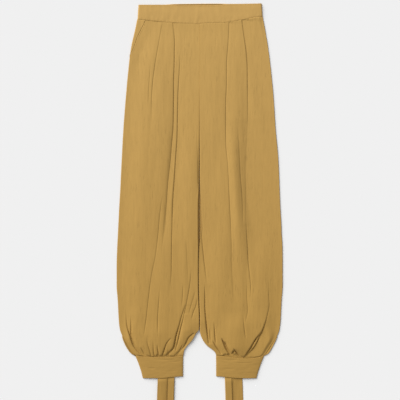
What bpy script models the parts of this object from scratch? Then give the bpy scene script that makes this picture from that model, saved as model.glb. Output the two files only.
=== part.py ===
# Balloon trousers with a pleated waist and tied cuffs, laid flat on their back.
# Metres. The cloth lies on z = 0 with the front up, the waist towards +Y and the ties towards -Y.
# Tables give millimetres: station is the distance down from the waist's top edge,
# and across is the distance out from the centre line towards that leg's own side seam.
import math

import bmesh
import bpy

MM = 0.001
WAIST_LINE = 630.0        # waist's top edge above the middle of the whole length
CLOTH = 1.6               # wall of a panel
BAND_CLOTH = 2.2          # front waistband, folded double
CUFF_CLOTH = 1.7          # cuff, folded double
POCKET_CLOTH = 1.2        # pocket facing
TIE_CLOTH = 1.2           # tie tails
SEAM = 0.3                # space kept where two pieces are sewn together
FRONT_REST = CLOTH + SEAM  # height at which a front panel starts, over the back one
RIGHT = -1                # the wearer's right leg lies towards -X
LEFT = 1

FRONT_TOP = 50.0          # about where the panels start under the waistband
CUFF_TOP = 984.0
CUFF_BOTTOM = 1047.0
TIE_END = 1260.0
LEGS_PART = 905.0         # below this station floor shows between the legs
INSEAM_FROM = 300.0       # the fronts' inner edges start to turn down here
INSEAM_REACH = 70.0       # and have turned down this much further on
OUTER_SHOULDER = 15.0     # a front panel rounds down to its edges over these widths
INNER_SHOULDER = 11.0
BACK_INSET = 1.0          # the back panels stay this far inside the fronts' edge
BACK_INSET_REACH = 15.0
SEAT_SEAM = {RIGHT: 1.7, LEFT: -1.1}    # the backs meet here, across
CREST_PLACE = 1.9         # a fold's crest lies this many trough widths from its trough
CREST_WIDTH = 1.25        # and is this many trough widths wide
SLOPE_SPAN = 1.5          # a wall's slope is measured this far to either side

LONG_STEP = 27.0          # rows of a panel, down to the gathers
SHORT_STEP = 12.0         # rows in the gathers above the cuff
GATHERS_FROM = 850.0
FRONT_COLUMNS = 33
BACK_COLUMNS = 9
BAND_ROWS, BAND_COLUMNS = 4, 25
BACK_BAND_COLUMNS = 9
POCKET_ROWS, POCKET_COLUMNS = 9, 4
CUFF_ROWS = 7
TIE_ROWS, TIE_COLUMNS = 9, 7

ROUGHNESS = 0.85
UPPER = (0.52, 0.335, 0.115)
LOWER = (0.47, 0.29, 0.09)
TRIM = (0.42, 0.255, 0.075)

# One row per section of the legs. Loft is how far the front stands off the back.
LEG_SECTIONS = [
    # station, right outer, left outer, right inner, left inner, loft
    (30, 172, 175, 1.7, -1.1, 0.6),
    (73, 181, 183, 1.7, -1.1, 1.2),
    (120, 192, 191, 1.7, -1.1, 1.8),
    (185, 200, 199, 1.7, -1.1, 2.2),
    (269, 207, 207, 1.7, -1.1, 2.4),
    (347, 213, 212, 1.7, -1.1, 2.5),
    (437, 218, 220, 2.2, -1.0, 2.6),
    (520, 222, 223, 3.0, -0.5, 2.6),
    (565, 225, 225, 6.0, 2.0, 2.6),
    (620, 228, 229, 6.0, 3.0, 2.6),
    (661, 230, 231, 4.0, -2.0, 2.7),
    (731, 232, 232, 5.5, -4.0, 2.8),
    (787, 232, 232, 5.0, -4.0, 2.9),
    (829, 229, 229, 4.0, -3.0, 3.0),
    (885, 226, 226, 2.0, -1.0, 3.0),
    (910, 223, 223, 2.2, -1.2, 3.1),
    (921, 219, 220, 7.0, 1.0, 3.2),
    (941, 212, 212, 20.0, 11.0, 3.3),
    (955, 208, 207, 33.0, 22.0, 3.3),
    (969, 199, 199, 42.0, 41.0, 3.2),
    (984, 181, 181, 46.0, 47.0, 2.8),
]
RIGHT_OUTER, LEFT_OUTER, RIGHT_INNER, LEFT_INNER, LOFT = 1, 2, 3, 4, 5

# One row per fold. The four across values are evenly spaced from start to end.
# Width is half the trough's width, ridge is the height of the crest beside it, and side is
# where that crest stands: +1 towards the side seam, -1 towards the centre. Held is the seam
# that the fold runs into.
RIGHT_FOLDS = [
    # name, start, end, across 1, 2, 3, 4, width, depth, ridge, side, held
    ("outer pleat", 52, 345, 106, 125, 134, 137, 8, 2.4, 2.2, -1, "waist"),
    ("inner pleat", 54, 660, 75, 75, 85, 102, 8, 3.2, 2.6, -1, "waist"),
    ("inner pleat's fellow", 140, 820, 57, 65, 79, 84, 7, 1.8, 1.8, -1, "none"),
    ("thigh hollow", 410, 700, 90, 94, 104, 112, 14, 2.0, 1.4, -1, "none"),
    ("shin fold", 500, 940, 103, 117, 142, 159, 9, 2.4, 2.4, -1, "none"),
    ("short shin fold", 800, 935, 112, 114, 118, 120, 7, 1.8, 1.6, -1, "none"),
    ("outer gather", 855, 984, 208, 206, 192, 158, 7, 3.6, 3.4, -1, "cuff"),
    ("middle gather", 922, 984, 148, 147, 142, 133, 6, 3.0, 3.0, -1, "cuff"),
    ("curved gather", 935, 986, 80, 90, 97, 106, 6, 2.6, 2.6, -1, "cuff"),
    ("inner gather", 748, 986, 27, 38, 61, 96, 8, 3.6, 3.6, -1, "cuff"),
    ("knee fold", 815, 895, 6, 12, 20, 26, 5, 1.2, 1.0, -1, "none"),
    ("crotch gather", 926, 984, 14, 38, 52, 72, 5, 2.4, 2.6, -1, "cuff"),
]
LEFT_FOLDS = [
    # name, start, end, across 1, 2, 3, 4, width, depth, ridge, side, held
    ("inner pleat", 54, 800, 82, 71, 82, 91, 8, 3.0, 2.8, 1, "waist"),
    ("outer pleat", 46, 370, 114, 129, 133, 134, 8, 2.4, 2.2, 1, "waist"),
    ("thigh hollow", 335, 645, 106, 112, 117, 125, 13, 2.6, 1.4, 1, "none"),
    ("shin fold", 625, 885, 128, 134, 140, 134, 9, 2.4, 2.2, 1, "none"),
    ("side fold", 410, 645, 173, 176, 175, 174, 9, 1.3, 1.0, 1, "none"),
    ("outer gather", 785, 988, 190, 194, 168, 123, 8, 3.8, 3.6, 1, "cuff"),
    ("outer gather's fellow", 915, 986, 178, 169, 158, 137, 6, 2.8, 2.8, 1, "cuff"),
    ("deep gather", 925, 984, 57, 64, 71, 84, 6, 4.2, 3.4, 1, "cuff"),
    ("middle gather", 862, 945, 118, 121, 125, 128, 6, 1.6, 1.6, 1, "none"),
    ("ankle gather", 948, 988, 98, 101, 104, 108, 6, 2.8, 2.6, 1, "cuff"),
    ("rolled inseam", 640, 935, 3, 14, 13, 19, 5, 2.2, 1.4, 1, "none"),
    ("knee fold", 885, 955, 37, 39, 41, 45, 5, 1.4, 1.2, 1, "none"),
]

# The waistband's lower seam, from the wearer's right end (-X) to the left end.
BAND_SEAM = [
    # x, station
    (-176, 43),
    (-140, 47),
    (-93, 52),
    (-42, 54),
    (-14, 56),
    (14, 54),
    (70, 54),
    (100, 48),
    (140, 41),
    (178, 34),
]
BAND_TOP = 3.0
BAND_ENDS = (-172.0, 173.0)
BAND_FLARE = 2.5          # the band's ends lean out this much towards its lower seam
BAND_CROWN = 0.5
BACK_BAND_DEPTH = 44.0
BACK_BAND_INSET = 1.0

# The slant pocket's opening, on the wearer's right.
POCKET_EDGE = [
    # station, across
    (44, 152),
    (70, 164),
    (92, 175),
    (123, 186),
    (143, 196.2),
]
POCKET_END = 150.0
POCKET_UNDER = 13.0       # how far the facing goes in under the front
POCKET_INSET = 0.5        # the facing stays this far inside the side seam
POCKET_RISE_FROM = 16.0   # the front starts to rise this far before the facing
POCKET_RISE = 13.0        # over this width
POCKET_FALL_TO = 34.0     # and is down again this far below the facing's end
POCKET_FALL = 28.0        # over this length

CUFF_SECTIONS = [
    # station, outer, inner, height
    (984, 180, 47.5, 6.6),
    (997, 175, 48, 6.6),
    (1011, 169.5, 48, 6.2),
    (1028, 164, 48, 5.8),
    (1047, 159, 48, 5.6),
]
CUFF_SEAM_SAG = {RIGHT: 5.0, LEFT: 8.0}  # the cuff's top seam bows down in the middle
CUFF_SEAM_GAP = 0.5
CUFF_CROWN = 0.5
CUFF_HEM_SLANT = 5.0      # the cuff's hem is higher at the inner side
TIE_INNER = 71.0          # inner edge of the inner tail, across
TIE_OUTER = 118.0         # outer edge of the outer tail, across
INNER_TIE_WIDTH = 21.0    # one edge of the inner tail is turned under
OUTER_TIE_WIDTH = 28.0
TIE_START = 999.0         # the tails are sewn to the cuff's ends from here down
TIE_FLAT = 6.0            # the inner tail is flat this far from its inner edge
TIE_RISE = 10.0           # and then rises over this width, to pass over the outer one
SLIT = (TIE_INNER - SEAM, TIE_OUTER + SEAM)  # the opening at the cuff's back, across


def clear_scene():
    for old in list(bpy.data.objects):
        bpy.data.objects.remove(old, do_unlink=True)


def smooth_step(value):
    value = min(1.0, max(0.0, value))
    return value * value * (3.0 - 2.0 * value)


def curve(points, at):
    """Value of a smooth line through (place, value) points, which never overshoots them."""
    if at <= points[0][0]:
        return points[0][1]
    if at >= points[-1][0]:
        return points[-1][1]
    n = 0
    while points[n + 1][0] < at:
        n += 1
    slopes = [(b[1] - a[1]) / (b[0] - a[0]) for a, b in zip(points, points[1:])]

    def tangent(k):
        if k == 0:
            return slopes[0]
        if k == len(points) - 1:
            return slopes[-1]
        before, after = slopes[k - 1], slopes[k]
        if before * after <= 0:
            return 0.0
        return 2.0 * before * after / (before + after)

    (x0, y0), (x1, y1) = points[n], points[n + 1]
    span = x1 - x0
    t = (at - x0) / span
    rise = t * t * (3.0 - 2.0 * t)
    start_pull = t * (1.0 - t) ** 2
    end_pull = t * t * (t - 1.0)
    return y0 + (y1 - y0) * rise + span * (tangent(n) * start_pull + tangent(n + 1) * end_pull)


def section(station, column):
    return curve([(row[0], row[column]) for row in LEG_SECTIONS], station)


def outer_edge(side, station):
    return section(station, RIGHT_OUTER if side == RIGHT else LEFT_OUTER)


def inner_edge(side, station):
    return section(station, RIGHT_INNER if side == RIGHT else LEFT_INNER)


def band_seam(x):
    return curve(BAND_SEAM, x)


def pocket_edge(station):
    return curve(POCKET_EDGE, station)


def cuff_seam(side, across):
    """Station of the seam between leg and cuff."""
    inner, outer = CUFF_SECTIONS[0][2], CUFF_SECTIONS[0][1]
    share = min(1.0, max(0.0, (across - inner) / (outer - inner)))
    return CUFF_TOP + CUFF_SEAM_SAG[side] * math.sin(math.pi * share)


def fold_line(fold, station):
    """Across value of a fold's trough at a station."""
    name, start, end, *places = fold[:7]
    step = (end - start) / 3.0
    points = [(start + step * k, across) for k, across in enumerate(places)]
    return curve(points, station)


def fold_strength(fold, station):
    """Fades a fold in and out along its length, apart from an end that a seam holds."""
    start, end, held = fold[1], fold[2], fold[-1]
    fade = 0.3 * (end - start)
    fade_in = 1.0 if held == "waist" else smooth_step((station - start) / fade)
    fade_out = 1.0 if held == "cuff" else smooth_step((end - station) / fade)
    if station < start - 1.0 and held != "waist":
        return 0.0
    return fade_in * fade_out


def fold_height(fold, across, station):
    strength = fold_strength(fold, station)
    if strength <= 0.0:
        return 0.0
    width, depth, ridge, side = fold[7:11]
    away = across - fold_line(fold, station)
    trough = math.exp(-(away / width) ** 2)
    crest = math.exp(-((away - side * CREST_PLACE * width) / (CREST_WIDTH * width)) ** 2)
    return strength * (ridge * crest - depth * trough)


def pocket_lift(across, station):
    """The front panel passes over the pocket facing."""
    facing_edge = pocket_edge(station) - POCKET_UNDER
    near = smooth_step((across - facing_edge + POCKET_RISE_FROM) / POCKET_RISE)
    above = smooth_step((POCKET_END + POCKET_FALL_TO - station) / POCKET_FALL)
    return (POCKET_CLOTH + SEAM) * near * above


def front_height(side, across, station):
    """Height of a front panel's underside over the place where it starts."""
    outside = smooth_step((outer_edge(side, station) - across) / OUTER_SHOULDER)
    legs_apart = smooth_step((station - INSEAM_FROM) / INSEAM_REACH)
    inside = smooth_step((across - inner_edge(side, station)) / INNER_SHOULDER)
    inside = 1.0 - (1.0 - inside) * legs_apart
    folds = RIGHT_FOLDS if side == RIGHT else LEFT_FOLDS
    relief = sum(fold_height(fold, across, station) for fold in folds)
    height = (section(station, LOFT) + relief) * outside * inside
    height = 0.5 * (height + math.sqrt(height * height + 1.0)) - 0.5
    if side == RIGHT:
        height += pocket_lift(across, station)
    return max(0.0, height)


def wall_height(side, across, station):
    """Upright measure of the wall, which grows on a slope so that the cloth stays even."""
    low = front_height(side, across - SLOPE_SPAN, station)
    high = front_height(side, across + SLOPE_SPAN, station)
    slope = (high - low) / (2.0 * SLOPE_SPAN)
    return CLOTH * math.sqrt(1.0 + slope * slope)


def place(x, station, z):
    return (x * MM, (WAIST_LINE - station) * MM, z * MM)


def material(name, colour, roughness):
    made = bpy.data.materials.new(name)
    made.use_nodes = True
    shader = made.node_tree.nodes["Principled BSDF"]
    shader.inputs["Base Color"].default_value = (*colour, 1.0)
    shader.inputs["Roughness"].default_value = roughness
    return made


def cloth_wall(name, rows, colour):
    """A closed wall: a grid laid on each point's first place, then extruded to its second."""
    down, over = len(rows), len(rows[0])
    shell = bmesh.new()
    bmesh.ops.create_grid(shell, x_segments=over - 1, y_segments=down - 1, size=1.0)
    cell = shell.verts.layers.int.new("cell")
    for number, corner in enumerate(shell.verts):
        corner[cell] = number
        corner.co = rows[number // over][number % over][0]
    extruded = bmesh.ops.extrude_face_region(shell, geom=shell.faces[:])
    for item in extruded["geom"]:
        if isinstance(item, bmesh.types.BMVert):
            item.co = rows[item[cell] // over][item[cell] % over][1]
    bmesh.ops.triangulate(shell, faces=shell.faces[:])
    bmesh.ops.recalc_face_normals(shell, faces=shell.faces[:])
    mesh = bpy.data.meshes.new(name)
    shell.to_mesh(mesh)
    shell.free()
    mesh.materials.append(material(name + "_cloth", colour, ROUGHNESS))
    item = bpy.data.objects.new(name, mesh)
    bpy.context.collection.objects.link(item)
    return item


def upright(x, station, low, high):
    """A wall's two faces at one point of a panel."""
    return place(x, station, low), place(x, station, high)


def row_shares(start, end):
    """Shares of a panel's length at which it has a row, closer in the gathers."""
    stations = []
    station = start
    while station < end - 4.0:
        stations.append(station)
        station += LONG_STEP if station < GATHERS_FROM else SHORT_STEP
    stations.append(end)
    return [(s - start) / (end - start) for s in stations]


def panel_point(side, share_across, share_down, edge_out, edge_in):
    """Place on a panel whose top follows the waistband and whose end follows the cuff."""
    station = FRONT_TOP + (CUFF_TOP - FRONT_TOP) * share_down
    for _ in range(3):
        inner = edge_in(station)
        across = inner + (edge_out(station) - inner) * share_across
        top = band_seam(side * across) + SEAM
        bottom = cuff_seam(side, across)
        station = top + (bottom - top) * share_down
    return across, station


def make_front(name, side, colour):
    def edge_out(station):
        edge = outer_edge(side, station)
        if side == RIGHT and station < POCKET_EDGE[-1][0]:
            edge = min(edge, pocket_edge(station))
        return edge

    def edge_in(station):
        return inner_edge(side, station)

    rows = []
    for down in row_shares(FRONT_TOP, CUFF_TOP):
        row = []
        for k in range(FRONT_COLUMNS):
            share = k / (FRONT_COLUMNS - 1)
            across, station = panel_point(side, share, down, edge_out, edge_in)
            low = FRONT_REST + front_height(side, across, station)
            high = low + wall_height(side, across, station)
            row.append(upright(side * across, station, low, high))
        rows.append(row)
    return cloth_wall(name, rows, colour)


def make_back(name, side, colour):
    def edge_out(station):
        return outer_edge(side, station) - BACK_INSET

    def edge_in(station):
        if station < LEGS_PART:
            return SEAT_SEAM[side]
        inset = BACK_INSET * smooth_step((station - LEGS_PART) / BACK_INSET_REACH)
        return max(SEAT_SEAM[side], inner_edge(side, station) + inset)

    rows = []
    top = BACK_BAND_DEPTH + SEAM
    for down in row_shares(top, CUFF_TOP):
        row = []
        for k in range(BACK_COLUMNS):
            share = k / (BACK_COLUMNS - 1)
            station = CUFF_TOP * down
            for _ in range(3):
                inner = edge_in(station)
                across = inner + (edge_out(station) - inner) * share
                station = top + (cuff_seam(side, across) - top) * down
            row.append(upright(side * across, station, 0.0, CLOTH))
        rows.append(row)
    return cloth_wall(name, rows, colour)


def make_front_band(name, colour):
    rows = []
    last = BAND_COLUMNS - 1
    for r in range(BAND_ROWS):
        share = r / (BAND_ROWS - 1)
        row = []
        for c in range(BAND_COLUMNS):
            x = BAND_ENDS[0] + (BAND_ENDS[1] - BAND_ENDS[0]) * c / last
            if c in (0, last):
                x += math.copysign(BAND_FLARE, x) * share
            station = BAND_TOP + (band_seam(x) - BAND_TOP) * share
            from_end = min(c, last - c) / 2.0
            low = FRONT_REST + BAND_CROWN * smooth_step(from_end) * math.sin(math.pi * share)
            row.append(upright(x, station, low, low + BAND_CLOTH))
        rows.append(row)
    return cloth_wall(name, rows, colour)


def make_back_band(name, colour):
    rows = []
    for share in (0.0, 1.0):
        row = []
        for c in range(BACK_BAND_COLUMNS):
            start, end = BAND_ENDS[0] + BACK_BAND_INSET, BAND_ENDS[1] - BACK_BAND_INSET
            x = start + (end - start) * c / (BACK_BAND_COLUMNS - 1)
            row.append(upright(x, BACK_BAND_DEPTH * share, 0.0, CLOTH))
        rows.append(row)
    return cloth_wall(name, rows, colour)


def make_pocket(name, colour):
    rows = []
    for r in range(POCKET_ROWS):
        down = r / (POCKET_ROWS - 1)
        row = []
        for c in range(POCKET_COLUMNS):
            share = c / (POCKET_COLUMNS - 1)
            station = FRONT_TOP + (POCKET_END - FRONT_TOP) * down
            for _ in range(3):
                inner = pocket_edge(station) - POCKET_UNDER
                across = inner + (outer_edge(RIGHT, station) - POCKET_INSET - inner) * share
                top = band_seam(-across) + SEAM
                station = top + (POCKET_END - top) * down
            row.append(upright(-across, station, FRONT_REST, FRONT_REST + POCKET_CLOTH))
        rows.append(row)
    return cloth_wall(name, rows, colour)


def cuff_section(outer, inner, height, inset):
    """The cuff's cross-section, open at the slit, as (across, height) points."""
    radius = 0.5 * height - inset
    middle = 0.5 * height
    points = [(SLIT[0], inset), (0.5 * (SLIT[0] + inner + inset + radius), inset)]
    for k in range(7):
        turn = math.pi * k / 6
        points.append((inner + inset + radius * (1.0 - math.sin(turn)), middle - radius * math.cos(turn)))
    for k in range(1, 9):
        share = k / 9
        crown = CUFF_CROWN * math.sin(math.pi * share)
        left, right = inner + inset + radius, outer - inset - radius
        points.append((left + (right - left) * share, height - inset + crown))
    for k in range(6, -1, -1):
        turn = math.pi * k / 6
        points.append((outer - inset - radius * (1.0 - math.sin(turn)), middle - radius * math.cos(turn)))
    fold = outer - inset - radius
    points += [(SLIT[1] + (fold - SLIT[1]) * k / 4, inset) for k in (3, 2, 1, 0)]
    return points


def make_cuff(name, side, colour):
    """A C-shaped band round the ankle, open at the back where its two ties are sewn in."""
    rows = []
    for number in range(CUFF_ROWS):
        share = number / (CUFF_ROWS - 1)
        level = CUFF_TOP + (CUFF_BOTTOM - CUFF_TOP) * share
        outer = curve([(r[0], r[1]) for r in CUFF_SECTIONS], level)
        inner = curve([(r[0], r[2]) for r in CUFF_SECTIONS], level)
        height = curve([(r[0], r[3]) for r in CUFF_SECTIONS], level)

        def face(inset):
            points = []
            for across, z in cuff_section(outer, inner, height, inset):
                part = min(1.0, max(0.0, (across - inner) / (outer - inner)))
                top = cuff_seam(side, across) + CUFF_SEAM_GAP
                bottom = CUFF_BOTTOM - CUFF_HEM_SLANT * (1.0 - smooth_step(part * 1.6))
                points.append(place(side * across, top + (bottom - top) * share, z))
            return points

        rows.append(list(zip(face(0.0), face(CUFF_CLOTH))))
    return cloth_wall(name, rows, colour)


def make_tie(name, side, outer_tail, colour):
    """A flat tail; the inner one's edge lies over the outer one."""
    start = TIE_OUTER - OUTER_TIE_WIDTH if outer_tail else TIE_INNER
    width = OUTER_TIE_WIDTH if outer_tail else INNER_TIE_WIDTH
    rows = []
    for r in range(TIE_ROWS):
        station = TIE_START + (TIE_END - TIE_START) * r / (TIE_ROWS - 1)
        row = []
        for c in range(TIE_COLUMNS):
            across = start + width * c / (TIE_COLUMNS - 1)
            low = 0.0
            if not outer_tail:
                low = (TIE_CLOTH + SEAM) * smooth_step((across - TIE_INNER - TIE_FLAT) / TIE_RISE)
            row.append(upright(side * across, station, low, low + TIE_CLOTH))
        rows.append(row)
    return cloth_wall(name, rows, colour)


clear_scene()
make_back("back_right", RIGHT, LOWER)
make_back("back_left", LEFT, LOWER)
make_front("front_right", RIGHT, UPPER)
make_front("front_left", LEFT, UPPER)
make_pocket("pocket_right", UPPER)
make_back_band("waistband_back", TRIM)
make_front_band("waistband_front", UPPER)
make_cuff("cuff_right", RIGHT, TRIM)
make_cuff("cuff_left", LEFT, TRIM)
make_tie("tie_right_inner", RIGHT, False, TRIM)
make_tie("tie_right_outer", RIGHT, True, TRIM)
make_tie("tie_left_inner", LEFT, False, TRIM)
make_tie("tie_left_outer", LEFT, True, TRIM)
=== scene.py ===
import math

import bmesh
import bpy
from mathutils import Matrix, Vector, noise
from mathutils.bvhtree import BVHTree


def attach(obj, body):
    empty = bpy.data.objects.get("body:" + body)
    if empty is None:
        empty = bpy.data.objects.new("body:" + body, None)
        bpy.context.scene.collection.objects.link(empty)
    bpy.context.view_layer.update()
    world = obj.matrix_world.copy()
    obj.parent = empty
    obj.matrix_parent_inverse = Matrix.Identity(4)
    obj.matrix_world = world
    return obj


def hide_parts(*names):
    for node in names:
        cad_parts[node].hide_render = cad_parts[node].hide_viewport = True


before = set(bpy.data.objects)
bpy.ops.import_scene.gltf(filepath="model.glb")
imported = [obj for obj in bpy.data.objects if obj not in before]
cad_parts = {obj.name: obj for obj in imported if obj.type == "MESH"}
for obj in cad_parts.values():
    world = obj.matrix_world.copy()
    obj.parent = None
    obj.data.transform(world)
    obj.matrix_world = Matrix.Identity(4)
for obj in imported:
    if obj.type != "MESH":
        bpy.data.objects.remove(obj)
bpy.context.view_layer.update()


# The studio: a plain pale floor, an even sky and one broad soft lamp from the waist end and the
# wearer's right. The camera looks straight down on the trousers.
MM = 0.001
FLOOR_TONE = 0.79
SKY_STRENGTH = 0.47
LAMP_STRENGTH = 4.39
LAMP_SPREAD = math.radians(42)
LAMP_FROM = Vector((-0.65, 0.63, 0.46))
FIELD_WIDTH = 1.1175
LENS = 85.0
SENSOR = 36.0
VIEW_CENTRE = Vector((-0.0003, 0.0812, 0.004))


def placed_piece(name, shape, finish):
    """Puts a finished shape into the scene as an object of one material."""
    mesh = bpy.data.meshes.new(name)
    shape.to_mesh(mesh)
    shape.free()
    mesh.materials.append(finish)
    piece = bpy.data.objects.new(name, mesh)
    bpy.context.collection.objects.link(piece)
    return piece


floor_paint = bpy.data.materials.new("floor_paint")
floor_paint.use_nodes = True
floor_shader = floor_paint.node_tree.nodes["Principled BSDF"]
floor_shader.inputs["Base Color"].default_value = (FLOOR_TONE, FLOOR_TONE, FLOOR_TONE, 1.0)
floor_shader.inputs["Roughness"].default_value = 0.95
floor_shader.inputs["Specular IOR Level"].default_value = 0.0
floor_shape = bmesh.new()
bmesh.ops.create_grid(floor_shape, x_segments=1, y_segments=1, size=6.0)
bmesh.ops.translate(floor_shape, verts=floor_shape.verts, vec=(0.0, 0.0, -0.3 * MM))
floor = placed_piece("floor", floor_shape, floor_paint)

sky = bpy.data.worlds.new("studio_sky")
sky.use_nodes = True
sky.node_tree.nodes["Background"].inputs["Color"].default_value = (1.0, 1.0, 1.0, 1.0)
sky.node_tree.nodes["Background"].inputs["Strength"].default_value = SKY_STRENGTH
bpy.context.scene.world = sky

lamp_data = bpy.data.lights.new("soft_lamp", "SUN")
lamp_data.energy = LAMP_STRENGTH
lamp_data.angle = LAMP_SPREAD
lamp = bpy.data.objects.new("soft_lamp", lamp_data)
lamp.rotation_euler = LAMP_FROM.to_track_quat("Z", "Y").to_euler()
bpy.context.collection.objects.link(lamp)

camera_data = bpy.data.cameras.new("camera")
camera_data.lens = LENS
camera_data.sensor_width = SENSOR
camera = bpy.data.objects.new("camera", camera_data)
camera.location = VIEW_CENTRE + Vector((0.0, 0.0, FIELD_WIDTH * LENS / SENSOR))
bpy.context.collection.objects.link(camera)
bpy.context.scene.camera = camera
bpy.context.scene.view_settings.view_transform = "Standard"


# The back panels: cotton crepe, one to a leg, flat on the floor, sewn to each other down the seat
# seam and to the fronts at the sides. They show only round the gathers and in the gap of the legs.
RIGHT = -1                # the wearer's right leg lies towards -X
LEFT = 1
WAIST_LINE = 630.0        # y of the waist's top edge; stations are measured down from it
CLOTH = 0.7               # thickness of the crepe
LEGS_PART = 905.0         # station from which the two legs lie clear of each other
CUFF_TOP = 984.0
BACK_TOP = 44.3
BACK_INSET = 2.6          # the front's rounded edge hides the back's
SEAT_SEAM = {RIGHT: 1.6, LEFT: -1.2}
# Painted light: the crepe's colour runs from the waist tone down to the ankle tone along y, darker towards
# the ankles, standing in for light that falls off from the waist end.
WAIST_TONE = (0.484, 0.294, 0.085)
ANKLE_TONE = (0.384, 0.222, 0.052)
LIGHT_FALLOFF_REACH = (-0.42, 0.63)   # y in metres, from the ankles' tone to the waist's
CREPE_ROUGHNESS = 0.75
CREPE_GLOSS = 0.2
SHEEN = 0.10
SHEEN_ROUGHNESS = 0.5
SHEEN_TINT = (1.0, 0.86, 0.60, 1.0)
RELIEF_DEPTH = 0.4        # of the crinkles and threads in the material

LEG_SECTIONS = [
    # station, right outer, left outer, right inner, left inner, loft
    (30, 173.4, 173.9, 1.43, -1.37, 2.2),
    (73, 182.0, 181.9, 1.43, -1.37, 2.2),
    (120, 192.6, 189.9, 1.43, -1.37, 3.4),
    (185, 200.8, 197.9, 1.43, -1.37, 4.2),
    (269, 208.4, 205.9, 1.43, -1.37, 4.8),
    (347, 214.4, 210.9, 1.43, -1.37, 5.2),
    (437, 219.4, 218.9, 2.2, -1.0, 5.4),
    (520, 223.4, 222.3, 4.0, 0.2, 5.4),
    (565, 226.0, 224.1, 5.4, 2.8, 5.3),
    (620, 228.8, 227.3, 5.2, 4.4, 5.2),
    (645, 230.0, 228.2, 5.2, 2.0, 5.2),
    (680, 231.8, 230.4, 4.8, -2.6, 5.1),
    (731, 233.4, 230.9, 5.2, -4.5, 5.0),
    (787, 233.4, 230.9, 5.0, -4.2, 5.0),
    (829, 230.4, 227.9, 4.0, -3.0, 5.2),
    (885, 227.4, 225.0, 2.0, -1.0, 5.7),
    (910, 224.4, 222.2, 2.2, -1.2, 5.9),
    (921, 221.2, 219.2, 10.5, 0.0, 6.0),
    (941, 214.8, 211.6, 22.0, 7.8, 6.0),
    (955, 208.6, 205.0, 35.0, 18.0, 5.8),
    (969, 200.2, 197.0, 44.4, 36.0, 5.2),
    (977, 193.8, 191.8, 46.0, 43.0, 4.8),
    (984, 182.5, 181.0, 46.8, 45.0, 4.4),
]
FRONT_TUCK = [
    # station, how far the front's side edge draws in and shows the back's
    (920, 0.0),
    (942, 3.2),
    (958, 6.5),
    (974, 7.5),
    (984, 4.0),
]
CUFF_SPAN = (46.0, 181.0)
CUFF_SAG = {RIGHT: 4.0, LEFT: 7.2}
SAG_LEAN = {RIGHT: 1.0, LEFT: 1.5}   # above 1 the lowest point lies further out


def smooth_step(value):
    """Goes softly from 0 to 1 as the value does, and no further."""
    value = min(1.0, max(0.0, value))
    return value * value * (3.0 - 2.0 * value)


def curve(points, at):
    """Value of a smooth line through (place, value) points, which never overshoots them."""
    if at <= points[0][0]:
        return points[0][1]
    if at >= points[-1][0]:
        return points[-1][1]
    n = 0
    while points[n + 1][0] < at:
        n += 1
    slopes = [(b[1] - a[1]) / (b[0] - a[0]) for a, b in zip(points, points[1:])]

    def tangent(k):
        if k == 0:
            return slopes[0]
        if k == len(points) - 1:
            return slopes[-1]
        before, after = slopes[k - 1], slopes[k]
        if before * after <= 0:
            return 0.0
        return 2.0 * before * after / (before + after)

    (x0, y0), (x1, y1) = points[n], points[n + 1]
    span = x1 - x0
    t = (at - x0) / span
    rise = t * t * (3.0 - 2.0 * t)
    start_pull = t * (1.0 - t) ** 2
    end_pull = t * t * (t - 1.0)
    return y0 + (y1 - y0) * rise + span * (tangent(n) * start_pull + tangent(n + 1) * end_pull)


def traced(points):
    """The same line read off at every millimetre once, so that thousands of looks are quick."""
    start, end = points[0][0], points[-1][0]
    values = [curve(points, start + k) for k in range(int(end - start) + 2)]

    def look(at):
        at = min(max(at - start, 0.0), end - start - 0.001)
        k = int(at)
        return values[k] + (values[k + 1] - values[k]) * (at - k)

    return look


def traced_column(table, column):
    """The line through one column of a table of sections, along the stations in its first."""
    return traced([(row[0], row[column]) for row in table])


outer_edge = {RIGHT: traced_column(LEG_SECTIONS, 1), LEFT: traced_column(LEG_SECTIONS, 2)}
inner_edge = {RIGHT: traced_column(LEG_SECTIONS, 3), LEFT: traced_column(LEG_SECTIONS, 4)}
loft = traced_column(LEG_SECTIONS, 5)
front_tuck = traced(FRONT_TUCK)


def cuff_seam(side, across):
    """Station of the seam between a leg and its cuff, which sags towards the middle."""
    share = min(1.0, max(0.0, (across - CUFF_SPAN[0]) / (CUFF_SPAN[1] - CUFF_SPAN[0])))
    return CUFF_TOP + CUFF_SAG[side] * math.sin(math.pi * share ** SAG_LEAN[side])


def rounded(distance, reach):
    """Rises from 0 at an edge to 1 at its reach, as a quarter circle does."""
    if distance >= reach:
        return 1.0
    return math.sqrt(max(0.0, 1.0 - (1.0 - max(0.0, distance) / reach) ** 2))


def cloth_sheet(name, rows, wall, finish, up=True):
    """A thin shell whose outer face goes through rows of (x, station, height) points."""
    down, over = len(rows), len(rows[0])
    sheet = bmesh.new()
    bmesh.ops.create_grid(sheet, x_segments=over - 1, y_segments=down - 1, size=1.0)
    for number, corner in enumerate(sheet.verts):
        x, station, height = rows[number // over][number % over]
        corner.co = (x * MM, (WAIST_LINE - station) * MM, height * MM)
    sheet.normal_update()
    facing = sum(face.normal.z * face.calc_area() for face in sheet.faces)
    if (facing < 0.0) == up:
        bmesh.ops.reverse_faces(sheet, faces=sheet.faces[:])
    for face in sheet.faces:
        face.smooth = True
    piece = placed_piece(name, sheet, finish)
    shell = piece.modifiers.new("wall", "SOLIDIFY")
    shell.thickness = wall * MM
    shell.offset = -1.0
    return piece


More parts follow.
